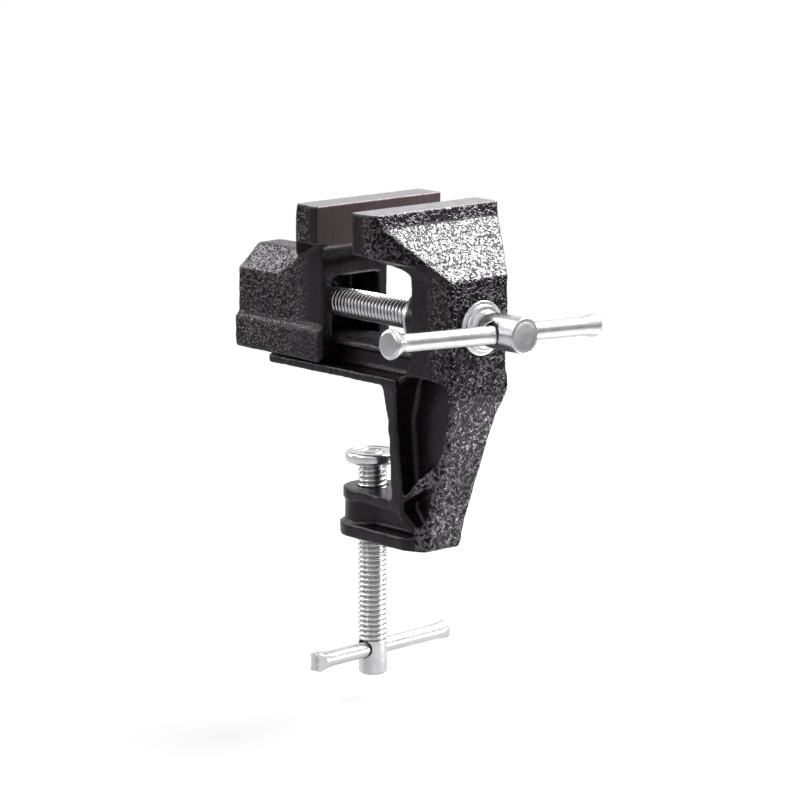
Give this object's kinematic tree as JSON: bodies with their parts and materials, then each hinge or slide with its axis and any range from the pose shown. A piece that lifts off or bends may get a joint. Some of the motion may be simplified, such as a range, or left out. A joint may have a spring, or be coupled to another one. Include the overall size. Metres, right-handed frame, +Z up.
{
  "type": "table vise",
  "caption": "Small cast iron vise that clamps over a table's edge, with a screw-driven sliding jaw and a clamp screw under the table",
  "frame": {"origin": "where the clamp screw's axis meets the table top, on the base plate's underside", "axes": "+Z up, +Y into the table and away from the user, +X to the user's right"},
  "size_m": [0.0853, 0.1185, 0.1509],
  "materials": {
    "black_paint": "gloss black hammered paint",
    "plated_steel": "bright plated",
    "plain_steel": "bare"
  },
  "bodies": {
    "frame": {"clamp_frame": "black_paint"},
    "jaw": {"sliding_jaw": "black_paint"},
    "lead": {"lead_screw": "plated_steel", "thrust_washer": "plated_steel", "thrust_collar": "plated_steel", "collar_pin": "plain_steel"},
    "lead_bar": {"lead_handle": "plated_steel"},
    "pad": {"clamp_pad": "plated_steel"},
    "clamp": {"clamp_screw": "plated_steel"},
    "clamp_bar": {"clamp_handle": "plated_steel"}
  },
  "joints": [
    {"name": "lead_spin", "type": "hinge", "parent": "frame", "child": "lead", "pos_m": [0, -0.04, 0.02026], "axis": [0, 1, 0], "range_deg": [-4290, 3632]},
    {"name": "jaw_slide", "type": "slide", "parent": "frame", "child": "jaw", "axis": [0, 1, 0], "range_m": [-0.016, 0.0189]},
    {"name": "lead_bar_slide", "type": "slide", "parent": "lead", "child": "lead_bar", "axis": [0.9989, 0, -0.0469], "range_m": [-0.0285, 0.0355]},
    {"name": "clamp_spin", "type": "hinge", "parent": "pad", "child": "clamp", "pos_m": [0, 0, -0.05], "axis": [0, 0, 1], "range_deg": [-1590, 5650]},
    {"name": "pad_lift", "type": "slide", "parent": "frame", "child": "pad", "axis": [0, 0, 1], "range_m": [-0.007, 0.0249]},
    {"name": "clamp_bar_slide", "type": "slide", "parent": "clamp", "child": "clamp_bar", "axis": [0.9976, 0.0698, 0], "range_m": [-0.0235, 0.0143]}
  ],
  "couplings": [
    {"joint": "lead_spin", "follows": "jaw_slide", "rad_per_m": -3957.9},
    {"joint": "clamp_spin", "follows": "pad_lift", "rad_per_m": 3957.9}
  ]
}
